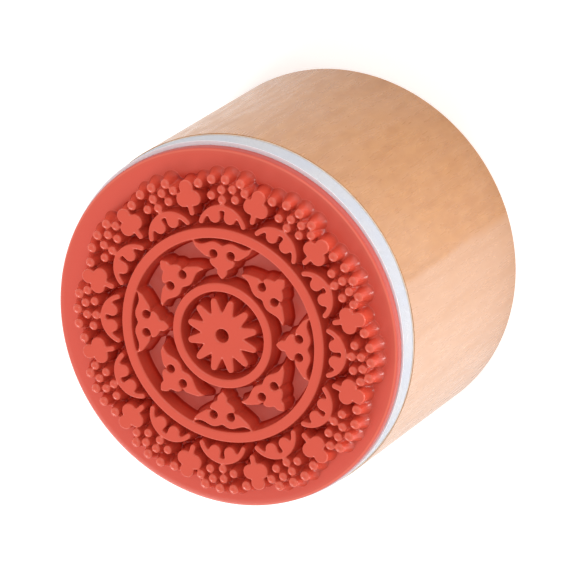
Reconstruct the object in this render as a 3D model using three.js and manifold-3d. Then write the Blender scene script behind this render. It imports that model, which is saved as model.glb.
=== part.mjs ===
// Round wood-mounted rubber stamp, standing on its wooden face with the printing face up.
// Millimetres, +Z up. The origin is the centre of the wooden face that the stamp stands on.
import * as THREE from 'three';
import { mergeVertices } from 'three/addons/utils/BufferGeometryUtils.js';
import Module from 'manifold-3d';

const wasm = await Module();
wasm.setup();

// The stack, from the bottom up.
const BLOCK_RADIUS = 20;
const BLOCK_HEIGHT = 25.95;
const BLOCK_EASED_EDGE = 0.25;
const FILM_THICKNESS = 0.1;
const BLOCK_FILM_RADIUS = 19.8;
const FOAM_RADIUS = 19.9;
const FOAM_THICKNESS = 2.3;
const DIE_FILM_RADIUS = 19.5;
const SHEET_RADIUS = 19.6;
const SHEET_THICKNESS = 1.05;
const RELIEF_HEIGHT = 1.85;
const RELIEF_ROOT = 0.4; // how deep each raised shape reaches into the sheet that it joins

// The raised pattern is moulded a little off the middle of its sheet.
const PATTERN_CENTRE = new THREE.Vector3(0.42, -0.32, 0);

// Two plain rings, as inner and outer radius.
const OUTER_RING = [10.62, 11.68];
const INNER_RING = [4.83, 5.71];

// The daisy in the middle: a disc with a round eye and tapering petals.
const DAISY_PETALS = 12;
const DAISY_EYE_RADIUS = 0.78;
const PETAL_VALLEY_RADIUS = 2.38;
const PETAL_TIP_CENTRE = 3.73;
const PETAL_TIP_RADIUS = 0.34;
const PETAL_TAPER_DEG = 12;

// Eight lilies between the rings, turned inwards and outwards by turns.
const LILY_COUNT = 8;
const LILY_INWARD_RADIUS = 8.87; // distance of its scroll holes' level from the pattern's centre
const LILY_OUTWARD_RADIUS = 7.5;
const SCROLL_X = 1;
const SCROLL_HOLE_RADIUS = 0.5;
const SCROLL_RADIUS = 1.28;

// The border repeats twelve times: a scallop, a trefoil between scallops, and beads above.
const BORDER_REPEATS = 12;
const SCALLOP_CENTRE_Y = 11.47;
const SCALLOP_RADII = [2.28, 2.78];
const SCALLOP_FOOT_DEG = 17;
const LEAF_CENTRE = new THREE.Vector2(0.87, 12.93);
const LEAF_RADIUS = 0.66;
const TREFOIL_TOP_Y = 16.17;
const TREFOIL_TOP_RADIUS = 0.79;
const TREFOIL_SIDE_CENTRE = new THREE.Vector2(0.6, 14.92);
const TREFOIL_SIDE_RADIUS = 0.83;
const TREFOIL_STEM_HALF_WIDTH = 0.29;
const TREFOIL_STEM_FOOT_Y = 13.1;

// Rows of beads over each scallop: radius of a bead, then each bead's place as its angle from
// the scallop's middle, clockwise in degrees, and its distance from the pattern's centre.
const BEAD_ROWS = [
  { radius: 0.47, beads: [[-9.7, 16.47], [-4.3, 16.92], [1.1, 17.03], [7, 16.94]] },
  { radius: 0.43, beads: [[-0.4, 15.91], [4.1, 16.12], [9.2, 16.04]] },
  { radius: 0.43, beads: [[-4.8, 15.21], [-0.1, 14.82], [5.6, 15.07]] },
];

// Fineness of the facets.
const BLOCK_SIDES = 96;
const FOAM_SIDES = 72;
const OUTER_RING_SIDES = 60;
const INNER_RING_SIDES = 36;
const EYE_SIDES = 12;
const BEAD_SIDES = 6;
const ARC_STEP_DEG = 38;

const DEG = Math.PI / 180;

function point(x, y) {
  return new THREE.Vector2(x, y);
}

// Points on an arc about (x, y), both ends included.
function arc(x, y, radius, fromDeg, toDeg) {
  const steps = Math.ceil(Math.abs(toDeg - fromDeg) / ARC_STEP_DEG);
  const points = [];
  for (let i = 0; i <= steps; i += 1) {
    const angle = (fromDeg + ((toDeg - fromDeg) * i) / steps) * DEG;
    points.push(point(x + radius * Math.cos(angle), y + radius * Math.sin(angle)));
  }
  return points;
}

// Points on a bend from a to c that is pulled towards b, both ends included.
function bend(a, b, c, steps = 2) {
  return new THREE.QuadraticBezierCurve(a, b, c).getPoints(steps);
}

function circle(radius, sides) {
  const points = [];
  for (let i = 0; i < sides; i += 1) {
    const angle = (2 * Math.PI * i) / sides;
    points.push(point(radius * Math.cos(angle), radius * Math.sin(angle)));
  }
  return points;
}

// Closes a right-hand half outline, drawn from bottom to top, with its mirror image. The
// first and last points are on the axis.
function mirrored(half) {
  const left = half.slice(1, -1).map((p) => point(-p.x, p.y));
  return [...half, ...left.reverse()];
}

function intersectionAngle(x1, y1, r1, x2, y2, r2) {
  const distance = Math.hypot(x2 - x1, y2 - y1);
  const along = (distance ** 2 + r1 ** 2 - r2 ** 2) / (2 * distance);
  return (Math.atan2(y2 - y1, x2 - x1) - Math.acos(along / r1)) / DEG;
}

// A bar or disc that stands up from z = 0.
function prism(outline, height, hole = null) {
  const shape = new THREE.Shape(outline);
  if (hole) {
    shape.holes.push(new THREE.Path(hole));
  }
  return new THREE.ExtrudeGeometry(shape, { depth: height, bevelEnabled: false });
}

function disc(radius, height, sides) {
  return prism(circle(radius, sides), height);
}

function toSolid(geometry) {
  const bare = geometry.clone();
  bare.deleteAttribute('normal');
  bare.deleteAttribute('uv');
  const merged = mergeVertices(bare);
  const mesh = new wasm.Mesh({
    numProp: 3,
    vertProperties: new Float32Array(merged.attributes.position.array),
    triVerts: new Uint32Array(merged.index.array),
  });
  return new wasm.Manifold(mesh);
}

function toGeometry(solid) {
  const mesh = solid.getMesh();
  const geometry = new THREE.BufferGeometry();
  geometry.setAttribute('position', new THREE.BufferAttribute(mesh.vertProperties, 3));
  geometry.setIndex(new THREE.BufferAttribute(mesh.triVerts, 1));
  geometry.computeVertexNormals();
  return geometry;
}

// Outlines of the raised shapes, with +Y pointing away from the pattern's centre.

function daisyOutline() {
  const points = [];
  for (let k = 0; k < DAISY_PETALS; k += 1) {
    const axisDeg = (360 / DAISY_PETALS) * (k + 0.5);
    const tip = point(PETAL_TIP_CENTRE, 0).rotateAround(point(0, 0), axisDeg * DEG);
    const reach = 90 - PETAL_TAPER_DEG;
    points.push(...arc(tip.x, tip.y, PETAL_TIP_RADIUS, axisDeg - reach, axisDeg + reach));
    const valley = point(PETAL_VALLEY_RADIUS, 0);
    points.push(valley.rotateAround(point(0, 0), (axisDeg + 180 / DAISY_PETALS) * DEG));
  }
  return points;
}

// A lily with its flower up: y = 0 is the level of the two round scroll holes.
function lilyOutline() {
  const armTip = point(3.45, -1.1);
  const barb = point(1.9, 0.35);
  const lobeTip = point(1.42, 0.78);
  const notch = point(0.52, 1.62);
  return mirrored([
    point(0, -0.95),
    ...arc(SCROLL_X, 0, SCROLL_RADIUS, -124, -62),
    ...bend(point(2.05, -0.96), point(2.6, -0.68), armTip),
    ...bend(point(3.1, -0.48), point(2.65, -0.1), barb),
    ...arc(SCROLL_X, 0, SCROLL_HOLE_RADIUS, 38, -265),
    lobeTip,
    ...bend(point(1.3, 1.12), point(0.95, 1.45), notch),
    ...bend(point(0.58, 2), point(0.42, 2.3), point(0, 2.66)),
  ]);
}

function scallopOutline() {
  const [inner, outer] = SCALLOP_RADII;
  const middle = (inner + outer) / 2;
  const foot = point(0, SCALLOP_CENTRE_Y);
  foot.x += middle * Math.cos(SCALLOP_FOOT_DEG * DEG);
  foot.y += middle * Math.sin(SCALLOP_FOOT_DEG * DEG);
  const footRadius = (outer - inner) / 2;
  return mirrored([
    point(0, 13.7),
    point(0.33, 13.64),
    ...arc(LEAF_CENTRE.x, LEAF_CENTRE.y, LEAF_RADIUS, 180, 350),
    ...arc(0, SCALLOP_CENTRE_Y, inner, 41, SCALLOP_FOOT_DEG),
    ...arc(foot.x, foot.y, footRadius, SCALLOP_FOOT_DEG - 130, SCALLOP_FOOT_DEG - 50),
    ...arc(0, SCALLOP_CENTRE_Y, outer, SCALLOP_FOOT_DEG, 90),
  ]);
}

function trefoilOutline() {
  const side = TREFOIL_SIDE_CENTRE;
  const stem = TREFOIL_STEM_HALF_WIDTH;
  const stemDeg = -180 + Math.acos((side.x - stem) / TREFOIL_SIDE_RADIUS) / DEG;
  const sideEndDeg = intersectionAngle(
    side.x, side.y, TREFOIL_SIDE_RADIUS, 0, TREFOIL_TOP_Y, TREFOIL_TOP_RADIUS,
  );
  const waistX = side.x + TREFOIL_SIDE_RADIUS * Math.cos(sideEndDeg * DEG);
  const topStartDeg = -Math.acos(waistX / TREFOIL_TOP_RADIUS) / DEG;
  return mirrored([
    point(0, TREFOIL_STEM_FOOT_Y),
    point(stem * 0.7, TREFOIL_STEM_FOOT_Y + stem * 0.2),
    point(stem, TREFOIL_STEM_FOOT_Y + stem * 0.8),
    ...arc(side.x, side.y, TREFOIL_SIDE_RADIUS, stemDeg, sideEndDeg),
    ...arc(0, TREFOIL_TOP_Y, TREFOIL_TOP_RADIUS, topStartDeg, 90).slice(1),
  ]);
}

// Turns a raised shape so that its +Y points along an angle, then sets it on the sheet.
function placed(geometry, angleDeg) {
  const copy = geometry.clone();
  copy.rotateZ((angleDeg - 90) * DEG);
  copy.translate(PATTERN_CENTRE.x, PATTERN_CENTRE.y, SHEET_THICKNESS - RELIEF_ROOT);
  return copy;
}

function raised(outline, hole = null) {
  return prism(outline, RELIEF_HEIGHT + RELIEF_ROOT, hole);
}

function ringGeometry([inner, outer], sides) {
  return raised(circle(outer, sides), circle(inner, sides).reverse());
}

function reliefShapes() {
  const shapes = [
    placed(ringGeometry(OUTER_RING, OUTER_RING_SIDES), 90),
    placed(ringGeometry(INNER_RING, INNER_RING_SIDES), 90),
    placed(raised(daisyOutline(), circle(DAISY_EYE_RADIUS, EYE_SIDES).reverse()), 90),
  ];
  const outwardLily = raised(lilyOutline());
  const inwardLily = outwardLily.clone().rotateZ(Math.PI);
  outwardLily.translate(0, LILY_OUTWARD_RADIUS, 0);
  inwardLily.translate(0, LILY_INWARD_RADIUS, 0);
  for (let k = 0; k < LILY_COUNT; k += 1) {
    const lily = k % 2 === 0 ? inwardLily : outwardLily;
    shapes.push(placed(lily, (360 / LILY_COUNT) * k));
  }
  const scallop = raised(scallopOutline());
  const trefoil = raised(trefoilOutline());
  const pitchDeg = 360 / BORDER_REPEATS;
  for (let k = 0; k < BORDER_REPEATS; k += 1) {
    shapes.push(placed(scallop, pitchDeg * k));
    shapes.push(placed(trefoil, pitchDeg * (k + 0.5)));
    for (const row of BEAD_ROWS) {
      for (const [clockwiseDeg, distance] of row.beads) {
        const bead = raised(circle(row.radius, BEAD_SIDES)).translate(0, distance, 0);
        shapes.push(placed(bead, pitchDeg * k - clockwiseDeg));
      }
    }
  }
  return shapes;
}

function rubberDieGeometry() {
  let die = toSolid(disc(SHEET_RADIUS, SHEET_THICKNESS, BLOCK_SIDES));
  for (const shape of reliefShapes()) {
    die = die.add(toSolid(shape));
  }
  return toGeometry(die);
}

function woodBlockGeometry() {
  const edge = BLOCK_EASED_EDGE;
  const profile = [
    point(0, 0),
    point(BLOCK_RADIUS - edge, 0),
    point(BLOCK_RADIUS, edge),
    point(BLOCK_RADIUS, BLOCK_HEIGHT - edge),
    point(BLOCK_RADIUS - edge, BLOCK_HEIGHT),
    point(0, BLOCK_HEIGHT),
  ];
  return new THREE.LatheGeometry(profile, BLOCK_SIDES).rotateX(Math.PI / 2);
}

const wood = new THREE.MeshStandardMaterial({ color: 0xdcb08c, roughness: 0.45, metalness: 0 });
const adhesive = new THREE.MeshStandardMaterial({ color: 0xc2a68e, roughness: 0.6, metalness: 0 });
const foam = new THREE.MeshStandardMaterial({ color: 0xefebf0, roughness: 0.85, metalness: 0 });
const rubber = new THREE.MeshStandardMaterial({ color: 0xd9583f, roughness: 0.4, metalness: 0 });

const stamp = new THREE.Group();
let level = 0;

// Adds a piece on top of the stack so far.
function stack(name, geometry, material, thickness) {
  const mesh = new THREE.Mesh(geometry, material);
  mesh.name = name;
  mesh.position.z = level;
  level += thickness;
  stamp.add(mesh);
}

const blockFilm = disc(BLOCK_FILM_RADIUS, FILM_THICKNESS, FOAM_SIDES);
const cushion = disc(FOAM_RADIUS, FOAM_THICKNESS, FOAM_SIDES);
const dieFilm = disc(DIE_FILM_RADIUS, FILM_THICKNESS, FOAM_SIDES);

stack('wood_block', woodBlockGeometry(), wood, BLOCK_HEIGHT);
stack('block_adhesive', blockFilm, adhesive, FILM_THICKNESS);
stack('foam_cushion', cushion, foam, FOAM_THICKNESS);
stack('die_adhesive', dieFilm, adhesive, FILM_THICKNESS);
stack('rubber_die', rubberDieGeometry(), rubber, SHEET_THICKNESS + RELIEF_HEIGHT);

export default stamp;
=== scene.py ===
"""The looks of a round wood-mounted rubber stamp: a turned wooden block, a foam cushion and a
moulded rubber die, each bonded to the next by a film of adhesive.

The relief is a height field: the raised shapes are drawn as outlines, a signed distance to them is
worked out on a fine grid, and level lines of that distance are lifted to the height that the
moulded edge, flank and foot have there. Lengths in the relief's drawing are millimetres."""

import math

import bpy
import numpy as np
from mathutils import Matrix, Vector
from mathutils.geometry import delaunay_2d_cdt


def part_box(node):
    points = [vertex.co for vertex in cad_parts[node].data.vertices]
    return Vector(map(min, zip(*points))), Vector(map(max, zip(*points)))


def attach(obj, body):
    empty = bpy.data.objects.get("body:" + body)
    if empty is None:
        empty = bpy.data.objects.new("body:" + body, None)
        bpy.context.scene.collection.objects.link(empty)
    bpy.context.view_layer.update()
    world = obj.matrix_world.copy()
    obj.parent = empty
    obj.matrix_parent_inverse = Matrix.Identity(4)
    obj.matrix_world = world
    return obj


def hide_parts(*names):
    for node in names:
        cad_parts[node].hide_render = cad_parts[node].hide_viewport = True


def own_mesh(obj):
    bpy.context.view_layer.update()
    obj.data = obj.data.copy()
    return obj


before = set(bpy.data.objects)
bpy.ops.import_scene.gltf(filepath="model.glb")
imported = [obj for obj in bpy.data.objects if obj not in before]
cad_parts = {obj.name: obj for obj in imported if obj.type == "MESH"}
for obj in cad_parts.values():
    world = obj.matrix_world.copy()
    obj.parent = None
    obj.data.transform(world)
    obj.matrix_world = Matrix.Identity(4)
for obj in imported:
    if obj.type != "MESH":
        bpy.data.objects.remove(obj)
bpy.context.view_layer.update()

MM = 0.001

# ---------------------------------------------------------------- sizes from the frame, in metres

BLOCK_LOW, BLOCK_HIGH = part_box("wood_block")
FOAM_LOW, FOAM_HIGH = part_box("foam_cushion")
BLOCK_FILM_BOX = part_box("block_adhesive")
DIE_FILM_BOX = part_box("die_adhesive")
DIE_LOW, DIE_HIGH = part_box("rubber_die")

# ---------------------------------------------------------------- sizes in millimetres

BLOCK_RADIUS = BLOCK_HIGH.x / MM
FOAM_RADIUS = FOAM_HIGH.x / MM
FOAM_TOP = FOAM_HIGH.z / MM
SHEET_RADIUS = DIE_HIGH.x / MM
RELIEF_HEIGHT = 1.85
SHEET_THICKNESS = (DIE_HIGH.z - DIE_LOW.z) / MM - RELIEF_HEIGHT
SHEET_TOP = DIE_LOW.z / MM + SHEET_THICKNESS  # above the table

# The relief's drawing.
PATTERN_CENTRE = np.array([0.42, -0.32])
OUTER_RING = (10.62, 11.68)
INNER_RING = (4.83, 5.71)
DAISY_PETALS = 12
DAISY_REACH = 4.1
DAISY_EYE_RADIUS = 0.78
PETAL_VALLEY_RADIUS = 2.38
PETAL_TIP_CENTRE = 3.73
PETAL_TIP_RADIUS = 0.34
PETAL_TAPER_DEG = 12
LILY_REPEATS = 4  # of each kind: turned inwards on the axes, outwards between them
LILY_INWARD_RADIUS = 8.87
LILY_OUTWARD_RADIUS = 7.5
LILY_BAND = (6.2, 10.5)  # about how near to the centre and how far from it the lilies reach
SCROLL_X = 1.0
SCROLL_HOLE_RADIUS = 0.5
SCROLL_RADIUS = 1.28
BORDER_REPEATS = 12
SCALLOP_CENTRE_Y = 11.47
SCALLOP_RADII = (2.28, 2.78)
SCALLOP_FOOT_DEG = 17
SCALLOP_BAND = (12.2, 14.3)
LEAF_CENTRE = (0.87, 12.93)
LEAF_RADIUS = 0.66
TREFOIL_TOP_Y = 16.17
TREFOIL_TOP_RADIUS = 0.79
TREFOIL_SIDE_CENTRE = (0.60, 14.92)
TREFOIL_SIDE_RADIUS = 0.83
TREFOIL_STEM_HALF_WIDTH = 0.29
TREFOIL_STEM_FOOT_Y = 13.1
TREFOIL_BAND = (13.1, 17.0)
# Bead radius, then each bead's clockwise angle from the scallop's middle and its distance out.
BEAD_ROWS = [
    (0.47, [(-9.7, 16.47), (-4.3, 16.92), (1.1, 17.03), (7.0, 16.94)]),
    (0.43, [(-0.4, 15.91), (4.1, 16.12), (9.2, 16.04)]),
    (0.43, [(-4.8, 15.21), (-0.1, 14.82), (5.6, 15.07)]),
]

# The moulded edge, as seen along the signed distance to an outline: outside is positive.
TOP_ROUNDING = 0.20
TOP_ROUNDING_DEPTH = 0.28
TOP_ROUNDING_SHARES = (0, 0.2, 0.4, 0.6, 0.8, 1)
OUTLINE_IN_ROUNDING = 0.78  # the drawn outline lies this share of the way out along the rounding
# The flank's draft in degrees, by how large a share of the way down it is.
FLANK = [(0, 5), (0.3, 6), (0.5, 10), (0.65, 17), (0.8, 28), (0.9, 38), (1, 48)]
FLOOR_STEP = 0.02  # the floor is flat from this far past the flank's foot
BEAD_FLAT = 0.13  # radius of the flat on a bead's domed cap
BEAD_SHOULDER = 0.07  # how far outside its drawn outline the cap reaches
BEAD_SPREAD = 0.18  # how much its sides spread from there down
BEAD_FLARE = 0.34  # and how much more towards its foot
BEAD_FLARE_POWER = 1.8
BEAD_MIDDLE_DEPTH = 0.04  # how much further inside the outline a bead's middle counts
BEAD_REACH = 1.5
TREFOIL_STEEPNESS = 1.6  # how much steeper than elsewhere a trefoil's flanks are

# The sheet's rim as (distance in from its outer edge, height above the sheet, tilt in degrees): a
# soft roll-off, a crisp edge, the cut side and the underside.
RIM_SIDES = 288
RIM_PROFILE = [
    (0.85, 0.0, 0),
    (0.60, -0.011, 5),
    (0.36, -0.038, 8),
    (0.26, -0.063, 20),
    (0.18, -0.107, 38),
    (0.10, -0.19, 55),
    (0.04, -0.31, 72),
    (0.015, -0.43, 84),
    (0.0, -0.58, 90),
    (0.0, 0.10 - SHEET_THICKNESS, 90),
    (0.02, 0.05 - SHEET_THICKNESS, 120),
    (0.07, -SHEET_THICKNESS, 178),
]
# The sheet was cut and laid by hand: it is a little oversize, off centre and oval.
RIM_OVERSIZE = 0.06
RIM_SHIFT = (0.15, -101)  # how far, and towards which angle in degrees
RIM_OVAL = (0.07, 17)

GRID_STEP = 0.08
GRID_REACH = 18.8
FAR_FROM_SHAPES = 2.0  # the distance that stands where no shape is near
BAND_MARGIN = 1.0  # how far past its band a shape's distance is still worked out
LINE_SPACING = 0.125
LEAST_LINE_POINTS = 10
BEND_POINTS = 9
ARC_STEP_DEG = 7
NO_LENGTH = 1e-12
OFF_LEVEL = 1e-9
TRIANGULATION_TOLERANCE = 1e-6


def arc(x, y, radius, from_deg, to_deg):
    """Points on an arc about (x, y), both ends included."""
    steps = max(1, math.ceil(abs(to_deg - from_deg) / ARC_STEP_DEG))
    angles = np.radians(np.linspace(from_deg, to_deg, steps + 1))
    return [(x + radius * math.cos(a), y + radius * math.sin(a)) for a in angles]


def bend(a, b, c):
    """Points on a bend from a to c that is pulled towards b, both ends included."""
    a, b, c = np.array(a), np.array(b), np.array(c)
    shares = np.linspace(0, 1, BEND_POINTS)
    return [tuple((1 - t) ** 2 * a + 2 * t * (1 - t) * b + t * t * c) for t in shares]


def mirrored(half):
    """Closes a right-hand half outline, drawn from bottom to top, with its mirror image."""
    return np.array(half + [(-x, y) for x, y in reversed(half[1:-1])])


def turned(points, degrees):
    """Points turned anticlockwise about the middle."""
    c, s = math.cos(math.radians(degrees)), math.sin(math.radians(degrees))
    return np.asarray(points) @ np.array([[c, s], [-s, c]])


def daisy_outline():
    """Round-tipped petals that meet in sharp valleys."""
    points = []
    reach = 90 - PETAL_TAPER_DEG
    pitch = 360 / DAISY_PETALS
    for k in range(DAISY_PETALS):
        axis = pitch * (k + 0.5)
        tip = turned((PETAL_TIP_CENTRE, 0), axis)
        points += arc(tip[0], tip[1], PETAL_TIP_RADIUS, axis - reach, axis + reach)
        points.append(tuple(turned((PETAL_VALLEY_RADIUS, 0), axis + pitch / 2)))
    return np.array(points)


def lily_outline():
    """A lily with its flower up: y = 0 is the level of the two round scroll holes, each of which
    opens sideways through a narrow slot."""
    arm_tip, barb, lobe_tip, notch = (3.45, -1.1), (1.9, 0.38), (1.48, 0.70), (0.52, 1.62)
    return mirrored(
        [(0, -0.95)]
        + arc(SCROLL_X, 0, SCROLL_RADIUS, -124, -62)
        + bend((2.05, -0.96), (2.6, -0.68), arm_tip)
        + bend((3.1, -0.48), (2.65, -0.1), barb)
        + arc(SCROLL_X, 0, SCROLL_HOLE_RADIUS, 64, -268)
        + [lobe_tip]
        + bend((1.3, 1.12), (0.95, 1.45), notch)
        + bend((0.58, 2.0), (0.42, 2.3), (0, 2.66))
    )


def scallop_outline():
    """An arch with round feet, and two round leaves that hang under its top."""
    inner, outer = SCALLOP_RADII
    middle, foot_radius = (inner + outer) / 2, (outer - inner) / 2
    foot = math.radians(SCALLOP_FOOT_DEG)
    foot_x, foot_y = middle * math.cos(foot), SCALLOP_CENTRE_Y + middle * math.sin(foot)
    return mirrored(
        [(0, 13.7), (0.33, 13.64)]
        + arc(*LEAF_CENTRE, LEAF_RADIUS, 180, 350)
        + arc(0, SCALLOP_CENTRE_Y, inner, 41, SCALLOP_FOOT_DEG)
        + arc(foot_x, foot_y, foot_radius, SCALLOP_FOOT_DEG - 170, SCALLOP_FOOT_DEG - 10)
        + arc(0, SCALLOP_CENTRE_Y, outer, SCALLOP_FOOT_DEG, 90)
    )


def trefoil_parts():
    """Two side lobes, the top lobe and the stem, as closed outlines that overlap."""
    side_x, side_y = TREFOIL_SIDE_CENTRE
    stem = TREFOIL_STEM_HALF_WIDTH
    lobes = [
        np.array(arc(x, y, r, 0, 360)[:-1])
        for x, y, r in (
            (side_x, side_y, TREFOIL_SIDE_RADIUS),
            (-side_x, side_y, TREFOIL_SIDE_RADIUS),
            (0, TREFOIL_TOP_Y, TREFOIL_TOP_RADIUS),
        )
    ]
    foot = arc(0, TREFOIL_STEM_FOOT_Y + stem, stem, 180, 360)
    return lobes + [np.array(foot + [(stem, TREFOIL_TOP_Y), (-stem, TREFOIL_TOP_Y)])]


# ---------------------------------------------------------------- signed distance and level lines


def outline_distance(x, y, outline):
    """Signed distance of each point to a closed outline, negative inside."""
    best = np.full(x.shape, np.inf)
    inside = np.zeros(x.shape, bool)
    for (ax, ay), (bx, by) in zip(outline, np.roll(outline, -1, axis=0)):
        ex, ey = bx - ax, by - ay
        length2 = ex * ex + ey * ey
        if length2 < NO_LENGTH:
            continue
        t = np.clip(((x - ax) * ex + (y - ay) * ey) / length2, 0, 1)
        best = np.minimum(best, (x - ax - t * ex) ** 2 + (y - ay - t * ey) ** 2)
        crosses = (ay > y) != (by > y)
        inside ^= crosses & (x < ax + (y - ay) * ex / np.where(crosses, ey, 1))
    return np.where(inside, -1, 1) * np.sqrt(best)


def seen_from_nearest(x, y, repeats, first_deg):
    """Each point in the frame of the nearest of the shapes round the centre, +Y outwards."""
    pitch = 2 * math.pi / repeats
    first = math.radians(first_deg)
    turn = math.pi / 2 - first - pitch * np.round((np.arctan2(y, x) - first) / pitch)
    return x * np.cos(turn) - y * np.sin(turn), x * np.sin(turn) + y * np.cos(turn)


def steeper(distance, times):
    """A distance that grows faster outside its outline, so that the flank there is steeper."""
    return np.where(distance > 0, distance * times, distance)


def bead_distance(from_middle, bead_radius):
    """A distance that gives a bead a domed cap, and sides that flare towards the sheet."""
    distance, height, _ = edge_profile().T
    shoulder = bead_radius + BEAD_SHOULDER
    cap = np.clip((distance - distance[0]) / TOP_ROUNDING, 0, 1)
    down = np.clip(1 - height / (RELIEF_HEIGHT - TOP_ROUNDING_DEPTH), 0, 1)
    spread = BEAD_SPREAD * down + BEAD_FLARE * down**BEAD_FLARE_POWER
    radii = BEAD_FLAT + (shoulder - BEAD_FLAT) * cap + spread
    radii[-1] += FLOOR_STEP
    radii = np.concatenate([[0], radii, [radii[-1] + 1]])
    middle = distance[0] - BEAD_MIDDLE_DEPTH
    distances = np.concatenate([[middle], distance, [distance[-1] + 1]])
    return np.interp(from_middle, radii, distances)


def relief_distance():
    """The grid's axis, and the signed distance to the nearest raised shape at each of its points."""
    count = int(2 * GRID_REACH / GRID_STEP) + 1
    axis = np.linspace(-GRID_REACH, GRID_REACH, count)
    x, y = np.meshgrid(axis, axis)
    radius = np.hypot(x, y)
    field = np.full(x.shape, FAR_FROM_SHAPES)

    def raise_shape(distance, reach, repeats=1, first_deg=90):
        band = (radius > reach[0] - BAND_MARGIN) & (radius < reach[1] + BAND_MARGIN)
        points = seen_from_nearest(x[band], y[band], repeats, first_deg)
        field[band] = np.minimum(field[band], distance(*points))

    def ring_distance(px, py):
        return np.abs(np.hypot(px, py) - sum(ring) / 2) - (ring[1] - ring[0]) / 2

    def daisy_distance(px, py):
        return np.maximum(outline_distance(px, py, daisy), DAISY_EYE_RADIUS - np.hypot(px, py))

    def inward_lily_distance(px, py):
        return outline_distance(px, LILY_INWARD_RADIUS - py, lily)

    def outward_lily_distance(px, py):
        return outline_distance(px, py - LILY_OUTWARD_RADIUS, lily)

    def scallop_distance(px, py):
        return outline_distance(px, py, scallop)

    def trefoil_distance(px, py):
        return steeper(outline_distance(px, py, part), TREFOIL_STEEPNESS)

    for ring in (OUTER_RING, INNER_RING):
        raise_shape(ring_distance, ring)
    daisy, lily, scallop = daisy_outline(), lily_outline(), scallop_outline()
    raise_shape(daisy_distance, (0, DAISY_REACH))
    raise_shape(inward_lily_distance, LILY_BAND, LILY_REPEATS, 90)
    raise_shape(outward_lily_distance, LILY_BAND, LILY_REPEATS, 45)
    raise_shape(scallop_distance, SCALLOP_BAND, BORDER_REPEATS, 90)
    for part in trefoil_parts():
        raise_shape(trefoil_distance, TREFOIL_BAND, BORDER_REPEATS, 75)
    for k in range(BORDER_REPEATS):
        for bead_radius, beads in BEAD_ROWS:
            for clockwise_deg, out in beads:
                bx, by = turned((out, 0), 360 / BORDER_REPEATS * k - clockwise_deg)
                near = (np.abs(x - bx) < BEAD_REACH) & (np.abs(y - by) < BEAD_REACH)
                bead = bead_distance(np.hypot(x[near] - bx, y[near] - by), bead_radius)
                field[near] = np.minimum(field[near], bead)
    return axis, softened(field)


def softened(field):
    """The field with its creases and corners rounded a little, as a mould leaves them."""
    for _ in range(2):
        for axis in (0, 1):
            ahead, behind = np.roll(field, 1, axis), np.roll(field, -1, axis)
            field = 0.5 * field + 0.25 * (ahead + behind)
    return field


def level_lines(field, axis, level):
    """The closed lines along which the field has this level, as arrays of points."""
    f = field - level
    f[f == 0] = OFF_LEVEL
    step = axis[1] - axis[0]
    points, links = {}, {}

    flat_i, flat_j = np.nonzero(f[:, :-1] * f[:, 1:] < 0)
    for i, j in zip(flat_i.tolist(), flat_j.tolist()):
        t = f[i, j] / (f[i, j] - f[i, j + 1])
        points[("h", i, j)] = (axis[j] + t * step, axis[i])
    up_i, up_j = np.nonzero(f[:-1, :] * f[1:, :] < 0)
    for i, j in zip(up_i.tolist(), up_j.tolist()):
        t = f[i, j] / (f[i, j] - f[i + 1, j])
        points[("v", i, j)] = (axis[j], axis[i] + t * step)

    cells = set()
    for kind, i, j in points:
        cells.add((i, j))
        cells.add((i - 1, j) if kind == "h" else (i, j - 1))
    for i, j in sorted(cells):
        sides = [("h", i, j), ("v", i, j + 1), ("h", i + 1, j), ("v", i, j)]
        cut = [s for s in sides if s in points]
        if len(cut) == 4:
            middle = f[i, j] + f[i, j + 1] + f[i + 1, j] + f[i + 1, j + 1]
            cut = cut if (middle > 0) != (f[i, j] > 0) else cut[1:] + cut[:1]
        for a, b in zip(cut[0::2], cut[1::2]):
            links.setdefault(a, []).append(b)
            links.setdefault(b, []).append(a)

    lines = []
    unseen = set(points)
    for start in points:
        if start not in unseen:
            continue
        line, here = [], start
        while here in unseen:
            unseen.discard(here)
            line.append(points[here])
            here = next((n for n in links[here] if n in unseen), start)
        lines.append(np.array(line))
    return lines


def evenly_spaced(line, spacing):
    """A closed line's points, taken again at an even spacing."""
    closed = np.vstack([line, line[:1]])
    along = np.concatenate([[0], np.cumsum(np.hypot(*np.diff(closed, axis=0).T))])
    count = max(LEAST_LINE_POINTS, int(round(along[-1] / spacing)))
    wanted = np.arange(count) * along[-1] / count
    return np.column_stack([np.interp(wanted, along, closed[:, i]) for i in (0, 1)])


def edge_profile():
    """The moulded edge as rows of distance outside the outline, height and slope of the surface,
    from the flat top down to the floor."""
    rows = []
    steepen = TOP_ROUNDING_DEPTH / TOP_ROUNDING
    start = math.atan(1 / math.tan(math.radians(FLANK[0][1])) / steepen)
    for share in TOP_ROUNDING_SHARES:
        turn = start * share
        drop = TOP_ROUNDING_DEPTH * (1 - math.cos(turn))
        out = TOP_ROUNDING * math.sin(turn)
        rows.append((out, RELIEF_HEIGHT - drop, steepen * math.tan(turn)))
    x, top, slope = rows[-1]
    for (share, _), (next_share, draft) in zip(FLANK, FLANK[1:]):
        next_slope = 1 / math.tan(math.radians(draft))
        x += top * (next_share - share) * 2 / (slope + next_slope)
        slope = next_slope
        rows.append((x, top * (1 - next_share), slope))
    rows.append((x + FLOOR_STEP, 0.0, 0.0))
    return np.array(rows) - (OUTLINE_IN_ROUNDING * TOP_ROUNDING, 0, 0)


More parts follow.
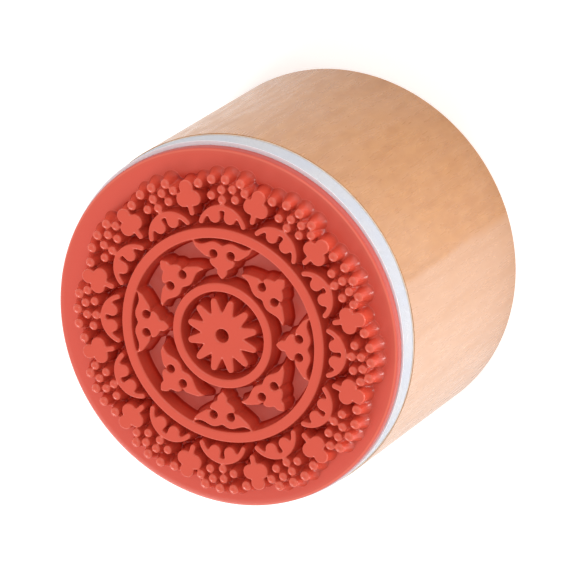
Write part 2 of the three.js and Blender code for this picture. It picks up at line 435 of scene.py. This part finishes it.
def drawn_lines(field, axis):
    """The relief's level lines, then the rim's inner line: their points, each point's height and
    slope, the edges between the points, and the number of the rim line's first point."""
    points, heights, slopes, edges = [], [], [], []

    def add_line(line, height, slope):
        first = len(points)
        points.extend(line.tolist())
        heights.extend([height] * len(line))
        slopes.extend([slope] * len(line))
        edges.extend((first + i, first + (i + 1) % len(line)) for i in range(len(line)))

    for distance, height, slope in edge_profile():
        for line in level_lines(field, axis, distance):
            add_line(evenly_spaced(line, LINE_SPACING) + PATTERN_CENTRE, height, slope)
    rim_first = len(points)
    add_line(rim_line(RIM_PROFILE[0][0]), 0.0, 0.0)
    return points, np.array(heights), np.array(slopes), edges, rim_first


def relief_normals(field, axis, xy, slope):
    """Each point's normal: it leans along the field's gradient by the moulded edge's slope."""
    slope_y, slope_x = np.gradient(field, axis, axis)
    outward = [sampled(s, axis, xy - PATTERN_CENTRE) for s in (slope_x, slope_y)]
    normals = np.column_stack([np.column_stack(outward) * slope[:, None], np.ones(len(xy))])
    return normals / np.linalg.norm(normals, axis=1)[:, None]


def relief_surface():
    """The die's top face inside its rim: points, normals, triangles and the rim's point numbers, in
    millimetres from the middle of the sheet and from the floor of the relief."""
    axis, field = relief_distance()
    points, heights, slopes, edges, rim_first = drawn_lines(field, axis)
    flat_points = [Vector(p) for p in points]
    made = delaunay_2d_cdt(flat_points, edges, [], 0, TRIANGULATION_TOLERANCE, True)
    flat_points, _, triangles, origins, _, _ = made
    xy = np.array([tuple(v) for v in flat_points])
    origin = np.array([ids[0] if ids else -1 for ids in origins])
    height = np.where(origin >= 0, heights[origin], 0.0)
    slope = np.where(origin >= 0, slopes[origin], 0.0)
    added = np.nonzero(origin < 0)[0]
    if len(added):
        distance = sampled(field, axis, xy[added] - PATTERN_CENTRE)
        profile = edge_profile()
        height[added] = np.interp(distance, profile[:, 0], profile[:, 1])
        slope[added] = np.interp(distance, profile[:, 0], profile[:, 2])
    normals = relief_normals(field, axis, xy, slope)
    rim = {int(i): n for n, i in enumerate(origin) if i >= rim_first}
    rim_ids = [rim[rim_first + i] for i in range(RIM_SIDES)]
    return np.column_stack([xy, height]), normals, [tuple(t) for t in triangles], rim_ids


def sampled(field, axis, points):
    """A grid field's value at each point, from the four grid points round it."""
    step = axis[1] - axis[0]
    place = np.clip((points - axis[0]) / step, 0, len(axis) - 1.001)
    low = place.astype(int)
    part = place - low
    i, j = low[:, 1], low[:, 0]
    u, v = part[:, 0], part[:, 1]
    near = field[i, j] * (1 - u) + field[i, j + 1] * u
    far = field[i + 1, j] * (1 - u) + field[i + 1, j + 1] * u
    return near * (1 - v) + far * v


def rim_excess(angles):
    """How much further out the rim runs at these angles than the sheet's own radius."""
    (shift, shift_deg), (oval, oval_deg) = RIM_SHIFT, RIM_OVAL
    shifted = shift * np.cos(angles - math.radians(shift_deg))
    return RIM_OVERSIZE + shifted + oval * np.cos(2 * (angles - math.radians(oval_deg)))


def rim_line(inset):
    """Points along the rim, or along a line this far inside it."""
    angles = np.arange(RIM_SIDES) * 2 * math.pi / RIM_SIDES
    radius = SHEET_RADIUS - inset + rim_excess(angles)
    return radius[:, None] * np.column_stack([np.cos(angles), np.sin(angles)])


# ---------------------------------------------------------------- meshes

FACE_WEIGHT = 80  # how strongly large faces pull the shading normals
WAVES_PER_TURN = (3, 5, 8, 13)


def mesh_object(name, points_mm, faces, base_z, normals=None):
    """A smooth-shaded mesh whose points are millimetres from the axis and from base_z."""
    points = np.asarray(points_mm) * MM + (0, 0, base_z)
    mesh = bpy.data.meshes.new(name)
    mesh.from_pydata(points.tolist(), [], faces)
    mesh.validate()
    mesh.shade_smooth()
    if normals is not None:
        mesh.normals_split_custom_set_from_vertices(np.asarray(normals).tolist())
    made = bpy.data.objects.new(name, mesh)
    bpy.context.scene.collection.objects.link(made)
    return made


def lathed(name, profile, sides, base_z, wobble=None):
    """A solid of revolution from (radius, height) points that start and end on the axis. The
    function wobble gives what is added to the radius at some angles and a height."""
    inner = profile[1:-1]
    angles = np.arange(sides) * 2 * math.pi / sides
    points = []
    for radius, height in inner:
        radii = radius + (wobble(angles, height) if wobble else 0)
        x, y = radii * np.cos(angles), radii * np.sin(angles)
        points += np.column_stack([x, y, np.full(sides, height)]).tolist()
    bottom, top = len(points), len(points) + 1
    points += [(0, 0, profile[0][1]), (0, 0, profile[-1][1])]
    faces = []
    for row in range(len(inner) - 1):
        for i in range(sides):
            a, b = row * sides + i, row * sides + (i + 1) % sides
            faces.append((a, b, b + sides, a + sides))
    last = (len(inner) - 1) * sides
    for i in range(sides):
        faces.append((bottom, (i + 1) % sides, i))
        faces.append((top, last + i, last + (i + 1) % sides))
    made = mesh_object(name, points, faces, base_z)
    weigh = made.modifiers.new("face_weighted_normals", "WEIGHTED_NORMAL")
    weigh.weight = FACE_WEIGHT
    return made


def rounded_stack(radius, height, rounding, steps=4, bulge=0.0, rows=1):
    """The profile of a round slab with rounded edges, whose side swells by bulge over its rows."""
    profile = [(0, 0)]
    for i in range(steps + 1):
        a = math.pi / 2 * i / steps
        profile.append((radius - rounding * (1 - math.sin(a)), rounding * (1 - math.cos(a))))
    for i in range(1, rows):
        share = i / rows
        level = rounding + (height - 2 * rounding) * share
        profile.append((radius + bulge * math.sin(math.pi * share), level))
    for i in range(steps + 1):
        a = math.pi / 2 * (1 - i / steps)
        profile.append((radius - rounding * (1 - math.sin(a)), height - rounding * (1 - math.cos(a))))
    profile.append((0, height))
    return profile


def rubber_die():
    """The relief's surface, continued over the rim and closed underneath."""
    points, normals, faces, rim_ids = relief_surface()
    points, normals = list(map(tuple, points)), list(map(tuple, normals))
    previous = rim_ids
    for inset, height, tilt_deg in RIM_PROFILE[1:]:
        ring = rim_line(inset)
        first = len(points)
        tilt = math.radians(tilt_deg)
        for x, y in ring:
            points.append((x, y, height))
            out = np.array([x, y]) / math.hypot(x, y)
            normals.append((out[0] * math.sin(tilt), out[1] * math.sin(tilt), math.cos(tilt)))
        for i in range(RIM_SIDES):
            j = (i + 1) % RIM_SIDES
            faces.append((previous[i], first + i, first + j, previous[j]))
        previous = list(range(first, first + RIM_SIDES))
    faces.append(tuple(reversed(previous)))
    return mesh_object("moulded_die", points, faces, SHEET_TOP * MM, normals)


def slow_waves(seed, size):
    """A gentle closed ripple round a circle, for edges that were cut or spread by hand."""
    phases = np.random.default_rng(seed).uniform(0, 2 * math.pi, len(WAVES_PER_TURN))

    def wobble(angles, height):
        waves = [np.sin(w * angles + p + height) for w, p in zip(WAVES_PER_TURN, phases)]
        return size * sum(wave / len(waves) for wave in waves)

    return wobble


# ---------------------------------------------------------------- materials

# Linear colours.
WOOD_LIGHT = (0.46, 0.20, 0.058)
WOOD_DARK = (0.395, 0.155, 0.038)
WOOD_PINK = (0.46, 0.21, 0.082)
WOOD_FLECK = (0.38, 0.15, 0.04)
WOOD_PALE_AND_SHEEN = (0.50, 0.29, 0.185)
WOOD_LATE = (0.37, 0.155, 0.045)
WOOD_PORE = (0.36, 0.17, 0.08)
FOAM_COOL = (0.45, 0.465, 0.515)
FOAM_WARM = (0.49, 0.485, 0.505)
# Painted light: a pale pinkish band on the foam's top edge, which offsets the shade under the sheet's
# rim.
FOAM_LEDGE_LIGHT = (0.80, 0.72, 0.75)
FOAM_CELL = (0.45, 0.46, 0.51)
RUBBER_DEEP = (0.59, 0.066, 0.036)
RUBBER_LIGHT = (0.63, 0.073, 0.040)
# Paler speckles of the rubber's own, and a painted highlight where the rim starts to roll off.
RUBBER_SPECKLE_AND_HIGHLIGHT = (0.66, 0.11, 0.07)
RUBBER_TOP = (0.67, 0.075, 0.037)
RUBBER_SHEET = (0.67, 0.088, 0.055)
RUBBER_FLANK_SHADE = (0.48, 0.055, 0.032)
RUBBER_SHADE = (0.57, 0.022, 0.005)
RUBBER_FOOT_SHADE = (0.24, 0.004, 0.001)
RUBBER_EDGE_HIGHLIGHT = (0.80, 0.15, 0.095)
RUBBER_RIDGE_HIGHLIGHT = (0.76, 0.165, 0.105)
RUBBER_SIDE_SHADE = (0.40, 0.058, 0.046)
RUBBER_PALE_FLOOR = (0.60, 0.19, 0.15)
# Painted light: the block's film is coloured light, to offset the shade in the groove between foam and
# wood.
BLOCK_FILM_LIGHTENED_COLOURS = ((0.80, 0.66, 0.54), (0.72, 0.57, 0.45))
# Painted light: the die's film is pink, like light bounced off the red rubber, and light, to offset the
# shade under the sheet's rim.
DIE_FILM_BOUNCE_COLOURS = ((0.64, 0.32, 0.33), (0.55, 0.26, 0.28))
FLOOR_COLOURS = ((0.93, 0.93, 0.93), (0.96, 0.96, 0.96))

# The board's painted glow, as emission strength at the left and at the right.
FLOOR_GLOW = (0.30, 1.05)
FLOOR_GLOW_REACH = (12, 34)  # millimetres along X over which the glow grows
FOAM_SCATTER = (0.6 * MM, 0.6 * MM, 0.7 * MM)
# Heights in millimetres over which the foam's painted light band fades in.
FOAM_LEDGE_LIGHT_FADE = (FOAM_TOP - 0.10, FOAM_TOP - 0.02)

# The wood's growth bands, in millimetres: where the tree's middle was, how wide a year is, and how
# far the bands wander.
PITH = (-38.0, 47.0)
PITH_LEAN = 0.03
GROWTH_SPACING = 3.4
GROWTH_WANDER = 5.0
# The paler side of the wood lies this way: partly a paler sapwood tone, partly a painted sheen on the
# side the light falls on.
PALE_AND_SHEEN_DIRECTION = (0.77, -0.64)  # across the grain
PALE_AND_SHEEN_START = 9.9  # how far out in that direction the paler wood starts

# Where each tint of the rubber fades in: heights above the sheet, and distances from the axis for
# the last four. A pair of fades marks both edges of a band.
TOP_FADE = (RELIEF_HEIGHT - 0.02, RELIEF_HEIGHT - 0.003)
EDGE_HIGHLIGHT_FADE = (RELIEF_HEIGHT - 0.22, RELIEF_HEIGHT - 0.14)
FLANK_SHADE_FADE = (1.3, 0.2)
CREVICE_SHADE_FADE = (1.0, 0.0)
FOOT_SHADE_FADE = (0.5, 0.08)
FLOOR_FADE = (0.08, 0.01)
LIP_HIGHLIGHT_FADES = ((-0.004, -0.02), (-0.075, -0.055))
RIDGE_HIGHLIGHT_FADES = ((-0.04, -0.06), (-0.16, -0.11))
SIDE_SHADE_FADE = (-0.12, -0.3)
SIDE_DULL_FADE = (-0.12, -0.2)
BETWEEN_RINGS_FADES = ((11.2, 10.8), (5.2, 5.6))
BARE_SHEET_FADE = (16.6, 17.4)
CREVICE_SHADE_REACH_FADE = (17.2, 16.4)
FOOT_SHADE_REACH_FADE = (17.2, 16.5)


class Nodes:
    """Adds shader nodes to one material, linking or setting each input by its name."""

    def __init__(self, name):
        self.material = bpy.data.materials.new(name)
        self.material.use_nodes = True
        self.tree = self.material.node_tree
        self.shader = self.tree.nodes["Principled BSDF"]
        coordinates = self.tree.nodes.new("ShaderNodeTexCoord")
        self.place = self.scaled(coordinates.outputs["Object"], 1 / MM)  # millimetres
        self.normal = coordinates.outputs["Normal"]

    def add(self, kind, inputs, **settings):
        node = self.tree.nodes.new(kind)
        for key, value in settings.items():
            setattr(node, key, value)
        self.fill(node, inputs)
        return node

    def fill(self, node, inputs):
        for key, value in inputs.items():
            if isinstance(value, bpy.types.NodeSocket):
                self.tree.links.new(value, node.inputs[key])
            else:
                node.inputs[key].default_value = value

    def scaled(self, vector, factor):
        factors = (factor,) * 3 if isinstance(factor, (int, float)) else factor
        node = self.add("ShaderNodeVectorMath", {0: vector, 1: factors}, operation="MULTIPLY")
        return node.outputs[0]

    def split(self, vector):
        return self.add("ShaderNodeSeparateXYZ", {0: vector}).outputs

    def maths(self, operation, *values):
        return self.add("ShaderNodeMath", dict(enumerate(values)), operation=operation).outputs[0]

    def times(self, a, b):
        return self.maths("MULTIPLY", a, b)

    def plus(self, a, b):
        return self.maths("ADD", a, b)

    def minus(self, a, b):
        return self.maths("SUBTRACT", a, b)

    def length(self, x, y):
        squares = self.plus(self.maths("POWER", x, 2.0), self.maths("POWER", y, 2.0))
        return self.maths("SQRT", squares)

    def drawn_out(self, share):
        """The place with its height scaled down, so that a texture is drawn out along the axis."""
        return self.scaled(self.place, (1, 1, share))

    def noise(self, vector, scale, detail=3.0, roughness=0.5, distortion=0.0):
        inputs = {"Vector": vector, "Scale": scale, "Detail": detail}
        inputs |= {"Roughness": roughness, "Distortion": distortion}
        return self.add("ShaderNodeTexNoise", inputs).outputs["Fac"]

    def ramp(self, value, low, high, to_low=0.0, to_high=1.0):
        """A smooth step from to_low at low to to_high at high."""
        inputs = {"Value": value, "From Min": low, "From Max": high, "To Min": to_low, "To Max": to_high}
        return self.add("ShaderNodeMapRange", inputs, interpolation_type="SMOOTHSTEP").outputs[0]

    def mix(self, share, a, b):
        """Colour a, with this share of colour b. Sockets 6, 7 and 2 are the node's colour ones."""
        node = self.add("ShaderNodeMix", {"Factor": share}, data_type="RGBA")
        for index, value in ((6, a), (7, b)):
            if isinstance(value, bpy.types.NodeSocket):
                self.tree.links.new(value, node.inputs[index])
            else:
                node.inputs[index].default_value = (*value, 1)
        return node.outputs[2]

    def tint(self, colour, other, mask, strength):
        """The colour, with up to this strength of another one where the mask is 1."""
        return self.mix(self.times(mask, strength), colour, other)

    def bump(self, height, depth_mm):
        return self.add("ShaderNodeBump", {"Height": height, "Distance": depth_mm * MM}).outputs[0]

    def finish(self, **inputs):
        self.fill(self.shader, {key.replace("_", " "): value for key, value in inputs.items()})
        return self.material


def late_wood(n, wander):
    """Where the dark end of each year's growth is, from 0 to 1. The rings' middle is off the block."""
    x, y, z = n.split(n.place)
    from_pith_x = n.minus(n.plus(x, wander), PITH[0])
    from_pith_y = n.minus(n.plus(y, n.times(z, PITH_LEAN)), PITH[1])
    year = n.maths("FRACT", n.maths("DIVIDE", n.length(from_pith_x, from_pith_y), GROWTH_SPACING))
    return n.times(n.ramp(year, 0.55, 0.97), n.ramp(year, 1.0, 0.97))


def across_to_pale_and_sheen(n, wander):
    """How far each point lies across the grain, in millimetres, with a ragged wander."""
    x, y, _ = n.split(n.place)
    across = n.plus(n.times(x, PALE_AND_SHEEN_DIRECTION[0]), n.times(y, PALE_AND_SHEEN_DIRECTION[1]))
    ragged = n.minus(n.noise(n.drawn_out(0.3), 0.6, 3.0, 0.6), 0.5)
    return n.plus(n.plus(across, n.times(wander, 0.4)), n.times(ragged, 1.6))


def wood_material():
    """Varnished birch, grain along the block's axis: a darker and a paler side, the paler one partly
    sapwood and partly a painted sheen on the side the light falls on, faint growth bands, fine flecks
    and small pores."""
    n = Nodes("varnished_wood")
    warp = n.noise(n.drawn_out(0.25), 0.09, 2.0)
    wander = n.times(n.minus(warp, 0.5), GROWTH_WANDER)
    late = late_wood(n, wander)
    side = n.ramp(n.maths("ABSOLUTE", n.split(n.normal)[2]), 0.97, 0.9)
    flecks = n.noise(n.drawn_out(0.16), 2.4, 3.0, 0.6)
    streaks = n.noise(n.drawn_out(0.05), 1.1, 3.0, 0.55)
    mottle = n.noise(n.drawn_out(0.45), 0.75, 4.0, 0.68, 0.4)
    patches = n.noise(n.place, 0.12, 2.0)
    pores = n.ramp(n.noise(n.drawn_out(0.09), 6.0, 1.0, 0.5), 0.30, 0.22)

    colour = n.mix(n.ramp(mottle, 0.3, 0.7), WOOD_DARK, WOOD_LIGHT)
    colour = n.tint(colour, WOOD_PINK, n.ramp(streaks, 0.35, 0.7), 0.35)
    colour = n.tint(colour, WOOD_FLECK, n.ramp(flecks, 0.56, 0.74), 0.2)
    colour = n.tint(colour, WOOD_PALE_AND_SHEEN, n.ramp(patches, 0.35, 0.65), 0.12)
    across = across_to_pale_and_sheen(n, wander)
    # Paler side towards the light: partly sapwood, partly painted sheen.
    colour = n.tint(colour, WOOD_PALE_AND_SHEEN, n.ramp(across, PALE_AND_SHEEN_START, PALE_AND_SHEEN_START + 1.2), 0.55)
    seam = n.ramp(across, PALE_AND_SHEEN_START - 0.5, PALE_AND_SHEEN_START)
    seam = n.times(seam, n.ramp(across, PALE_AND_SHEEN_START + 0.3, PALE_AND_SHEEN_START))
    colour = n.tint(colour, WOOD_LATE, seam, n.ramp(patches, 0.4, 0.6, 0.1, 0.6))
    late_strength = n.plus(0.55, n.times(side, -0.37))
    colour = n.tint(colour, WOOD_LATE, late, late_strength)
    colour = n.tint(colour, WOOD_PORE, pores, 0.05)
    end_colour = n.mix(0.35, colour, WOOD_LATE)
    colour = n.mix(side, end_colour, colour)

    rough = n.ramp(n.noise(n.drawn_out(0.16), 1.6, 2.0), 0.3, 0.7, 0.24, 0.36)
    rough = n.plus(rough, n.ramp(side, 0, 1, 0.2, 0.0))
    bump = n.bump(n.minus(n.times(flecks, 0.5), n.times(pores, 0.03)), 0.003)
    return n.finish(
        Base_Color=colour, Roughness=rough, Normal=bump, Coat_Weight=0.1, Coat_Roughness=0.04
    )


def foam_material():
    """White closed-cell foam: fine cells, a faint cool tint, and a painted light band on its upper edge,
    which offsets the shade under the sheet's rim.
    """
    n = Nodes("white_foam")
    voronoi = n.add("ShaderNodeTexVoronoi", {"Vector": n.place, "Scale": 5.5}, feature="F1")
    cells = voronoi.outputs["Distance"]
    grain = n.noise(n.place, 2.2, 3.0)
    shade = n.noise(n.place, 0.25, 2.0)
    colour = n.mix(n.ramp(shade, 0.3, 0.7), FOAM_COOL, FOAM_WARM)
    colour = n.tint(colour, FOAM_CELL, n.ramp(cells, 0.55, 0.9), 0.10)
    # Painted light on the foam's top edge.
    colour = n.mix(n.ramp(n.split(n.place)[2], *FOAM_LEDGE_LIGHT_FADE), colour, FOAM_LEDGE_LIGHT)
    rough = n.ramp(grain, 0.3, 0.7, 0.72, 0.85)
    bump = n.bump(n.plus(n.times(cells, -0.7), n.times(grain, 0.6)), 0.05)
    return n.finish(
        Base_Color=colour, Roughness=rough, Normal=bump,
        Subsurface_Weight=0.15, Subsurface_Radius=FOAM_SCATTER, Subsurface_Scale=1.0,
    )


def rubber_material():
    """Coral-red moulded rubber: matte printing tops with a painted highlight on their rounded edges,
    glossier flanks with painted shade that deepens towards their feet, a paler and greyer floor between
    the rings, and along the rim a painted highlight on its edge and painted shade on its cut side."""
    n = Nodes("coral_rubber")
    x, y, z = n.split(n.place)
    height = n.minus(z, SHEET_TOP)
    out = n.length(x, y)
    top = n.ramp(height, *TOP_FADE)
    floor = n.ramp(height, *FLOOR_FADE)
    cloud = n.noise(n.place, 0.35, 3.0)
    grain = n.noise(n.place, 7.0, 3.0, 0.6)
    speckle = n.noise(n.place, 1.8, 2.0)

    colour = n.mix(n.ramp(cloud, 0.3, 0.7), RUBBER_DEEP, RUBBER_LIGHT)
    colour = n.tint(colour, RUBBER_SPECKLE_AND_HIGHLIGHT, n.ramp(speckle, 0.52, 0.75), 0.10)
    colour = n.mix(n.times(floor, n.ramp(out, *BARE_SHEET_FADE)), colour, RUBBER_SHEET)
    # Painted shade: the flanks are darker than the tops.
    flank = n.times(n.ramp(height, *FLANK_SHADE_FADE), n.ramp(floor, 1.0, 0.0))
    colour = n.tint(colour, RUBBER_FLANK_SHADE, flank, 0.6)
    # Painted shade in the pattern's crevices, deeper red towards the floor.
    crevice_shade = n.times(n.ramp(height, *CREVICE_SHADE_FADE), n.ramp(out, *CREVICE_SHADE_REACH_FADE))
    colour = n.tint(colour, RUBBER_SHADE, crevice_shade, 0.7)
    # Painted shade, near black, at the feet of the flanks inside the pattern.
    foot = n.times(n.ramp(height, *FOOT_SHADE_FADE), n.ramp(floor, 1.0, 0.2))
    foot = n.times(foot, n.ramp(out, *FOOT_SHADE_REACH_FADE))
    colour = n.tint(colour, RUBBER_FOOT_SHADE, foot, 0.75)
    # Painted highlight on the rounded edges of the printing tops.
    edge_highlight = n.times(n.ramp(height, *EDGE_HIGHLIGHT_FADE), n.ramp(top, 1.0, 0.2))
    colour = n.tint(colour, RUBBER_EDGE_HIGHLIGHT, edge_highlight, 0.5)
    colour = n.tint(colour, RUBBER_TOP, top, 0.75)
    # Painted highlight: a thin paler line where the rim starts to roll off.
    lip_highlight = n.times(n.ramp(height, *LIP_HIGHLIGHT_FADES[0]), n.ramp(height, *LIP_HIGHLIGHT_FADES[1]))
    colour = n.tint(colour, RUBBER_SPECKLE_AND_HIGHLIGHT, lip_highlight, 0.35)
    # Painted highlight along the rim's crisp edge.
    ridge_highlight = n.times(n.ramp(height, *RIDGE_HIGHLIGHT_FADES[0]), n.ramp(height, *RIDGE_HIGHLIGHT_FADES[1]))
    colour = n.tint(colour, RUBBER_RIDGE_HIGHLIGHT, ridge_highlight, 0.65)
    # Painted shade on the sheet's cut side.
    colour = n.tint(colour, RUBBER_SIDE_SHADE, n.ramp(height, *SIDE_SHADE_FADE), 0.8)
    # A paler, greyer floor between the rings.
    inner_floor = n.times(floor, n.ramp(out, *BETWEEN_RINGS_FADES[0]))
    inner_floor = n.times(inner_floor, n.ramp(out, *BETWEEN_RINGS_FADES[1]))
    colour = n.tint(colour, RUBBER_PALE_FLOOR, inner_floor, n.ramp(cloud, 0.2, 0.6, 0.25, 0.45))

    rough = n.plus(n.ramp(top, 0, 1, 0.20, 0.46), n.ramp(grain, 0.3, 0.7, -0.03, 0.05))
    rough = n.plus(rough, n.times(floor, 0.12))
    rough = n.plus(rough, n.times(n.ramp(height, *SIDE_DULL_FADE), 0.12))
    bump = n.bump(n.plus(grain, n.times(speckle, 0.8)), 0.008)
    return n.finish(Base_Color=colour, Roughness=rough, Specular_IOR_Level=0.33, Normal=bump)


def adhesive_material(name, light, dark):
    """A tacky film of adhesive, thicker and darker in patches."""
    n = Nodes(name)
    cloud = n.noise(n.place, 0.9, 3.0)
    colour = n.mix(n.ramp(cloud, 0.35, 0.65), light, dark)
    rough = n.ramp(n.noise(n.place, 3.0, 2.0), 0.3, 0.7, 0.35, 0.55)
    return n.finish(Base_Color=colour, Roughness=rough, Normal=n.bump(cloud, 0.02))


def floor_material():
    """Matte white studio board with a painted glow from its own surface, which stands in for light from
    below and grows towards the right.
    """
    n = Nodes("studio_board")
    colour = n.mix(n.ramp(n.noise(n.place, 0.02, 2.0), 0.3, 0.7), *FLOOR_COLOURS)
    glow = n.ramp(n.split(n.place)[0], *FLOOR_GLOW_REACH, *FLOOR_GLOW)
    return n.finish(
        Base_Color=colour, Roughness=0.9, Specular_IOR_Level=0.2,
        Emission_Color=(1, 1, 1, 1), Emission_Strength=glow,
    )


def assign(piece, material):
    piece.data.materials.clear()
    piece.data.materials.append(material)


# ---------------------------------------------------------------- the pieces, sizes in mm

BLOCK_ROUNDING = 0.07
FOAM_ROUNDING = 0.05
FOAM_BULGE = 0.03
FOAM_RIPPLE = 0.04
FILM_RIPPLE = 0.03
FILM_ROUNDING_SHARE = 0.3
BLOCK_FILM_RADIUS = 19.93
DIE_FILM_RADIUS = 19.56
BLOCK_SIDES = 256
FILM_SIDES = 192


def build_wood_block():
    height = (BLOCK_HIGH.z - BLOCK_LOW.z) / MM
    profile = rounded_stack(BLOCK_RADIUS, height, BLOCK_ROUNDING, rows=6)
    block = lathed("turned_block", profile, BLOCK_SIDES, BLOCK_LOW.z)
    assign(block, wood_material())
    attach(block, "block")
    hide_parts("wood_block")


def build_foam():
    height = (FOAM_HIGH.z - FOAM_LOW.z) / MM
    profile = rounded_stack(FOAM_RADIUS - FOAM_RIPPLE, height, FOAM_ROUNDING, 3, FOAM_BULGE, 6)
    foam = lathed("foam_pad", profile, BLOCK_SIDES, FOAM_LOW.z, slow_waves(11, FOAM_RIPPLE))
    assign(foam, foam_material())
    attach(foam, "block")
    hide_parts("foam_cushion")
    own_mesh(foam)


def build_film(name, node, body, box, radius, wobble, colours):
    low, high = box
    height = (high.z - low.z) / MM
    profile = rounded_stack(radius, height, height * FILM_ROUNDING_SHARE, 2)
    film = lathed(name, profile, FILM_SIDES, low.z, wobble)
    assign(film, adhesive_material(name + "_glue", *colours))
    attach(film, body)
    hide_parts(node)


def build_films():
    """The block's film is round, and the die's film follows the sheet's rim."""
    build_film("block_glue_film", "block_adhesive", "block", BLOCK_FILM_BOX, BLOCK_FILM_RADIUS,
               slow_waves(5, FILM_RIPPLE), BLOCK_FILM_LIGHTENED_COLOURS)
    ripple = slow_waves(7, FILM_RIPPLE)

    def along_rim(angles, height):
        return ripple(angles, height) + rim_excess(angles)

    build_film("die_glue_film", "die_adhesive", "die", DIE_FILM_BOX, DIE_FILM_RADIUS,
               along_rim, DIE_FILM_BOUNCE_COLOURS)


def build_die():
    die = rubber_die()
    assign(die, rubber_material())
    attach(die, "die")
    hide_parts("rubber_die")


build_wood_block()
build_foam()
build_films()
build_die()


# ---------------------------------------------------------------- studio

CAMERA_AIM = (0.614, 0.266, 16.0)  # millimetres
CAMERA_DISTANCE = 583.9
CAMERA_AZIMUTH_DEG = 38.264
CAMERA_ELEVATION_DEG = 58.244
CAMERA_ROLL_DEG = -123.71
CAMERA_LENS = 343.75
CAMERA_SENSOR = 36
CAMERA_CLIP = (0.05, 10)  # metres

WORLD_STRENGTH = 0.76
FLOOR_HALF_WIDTH = 0.6  # metres
LIGHT_AIM = Vector((0, 0, 0.015))  # metres
# Each soft light's azimuth and elevation in degrees, distance and (width, height) in metres, and
# power in watts.
SOFTBOXES = {
    "key_low_right": (3, 4, 0.35, (0.05, 0.05), 0.07),
    "glint_right": (2, 0, 0.15, (0.014, 0.028), 0.040),
    "key_left": (232, 30, 0.6, (0.25, 0.25), 1.4),
    "fill_top": (75, 30, 0.6, (0.3, 0.3), 0.4),
    "overhead": (60, 75, 0.6, (0.3, 0.3), 0.45),
}


def direction(azimuth_deg, elevation_deg):
    """The unit vector from the stamp towards this azimuth and elevation."""
    a, e = math.radians(azimuth_deg), math.radians(elevation_deg)
    return Vector((math.cos(a) * math.cos(e), math.sin(a) * math.cos(e), math.sin(e)))


def build_camera():
    data = bpy.data.cameras.new("camera")
    data.sensor_width = CAMERA_SENSOR
    data.lens = CAMERA_LENS
    data.clip_start, data.clip_end = CAMERA_CLIP
    camera = bpy.data.objects.new("camera", data)
    bpy.context.scene.collection.objects.link(camera)
    back = direction(CAMERA_AZIMUTH_DEG, CAMERA_ELEVATION_DEG)
    camera.location = (Vector(CAMERA_AIM) + back * CAMERA_DISTANCE) * MM
    level = back.to_track_quat("Z", "Y").to_matrix()
    camera.rotation_euler = (level @ Matrix.Rotation(math.radians(CAMERA_ROLL_DEG), 3, "Z")).to_euler()
    bpy.context.scene.camera = camera


def build_softbox(name, azimuth, elevation, distance, size, power):
    """A soft light aimed at the stamp."""
    data = bpy.data.lights.new(name, "AREA")
    data.shape = "RECTANGLE"
    data.size, data.size_y = size
    data.energy = power
    light = bpy.data.objects.new(name, data)
    bpy.context.scene.collection.objects.link(light)
    back = direction(azimuth, elevation)
    light.location = back * distance + LIGHT_AIM
    light.rotation_euler = back.to_track_quat("Z", "Y").to_euler()


def build_floor():
    half = FLOOR_HALF_WIDTH
    corners = [(-half, -half, 0), (half, -half, 0), (half, half, 0), (-half, half, 0)]
    mesh = bpy.data.meshes.new("studio_floor")
    mesh.from_pydata(corners, [], [(0, 1, 2, 3)])
    floor = bpy.data.objects.new("studio_floor", mesh)
    bpy.context.scene.collection.objects.link(floor)
    assign(floor, floor_material())


def build_world():
    world = bpy.data.worlds.new("studio")
    world.use_nodes = True
    background = world.node_tree.nodes["Background"]
    background.inputs["Color"].default_value = (1, 1, 1, 1)
    background.inputs["Strength"].default_value = WORLD_STRENGTH
    bpy.context.scene.world = world


build_camera()
build_floor()
build_world()
for light_name, light_numbers in SOFTBOXES.items():
    build_softbox(light_name, *light_numbers)
bpy.context.scene.view_settings.view_transform = "Standard"
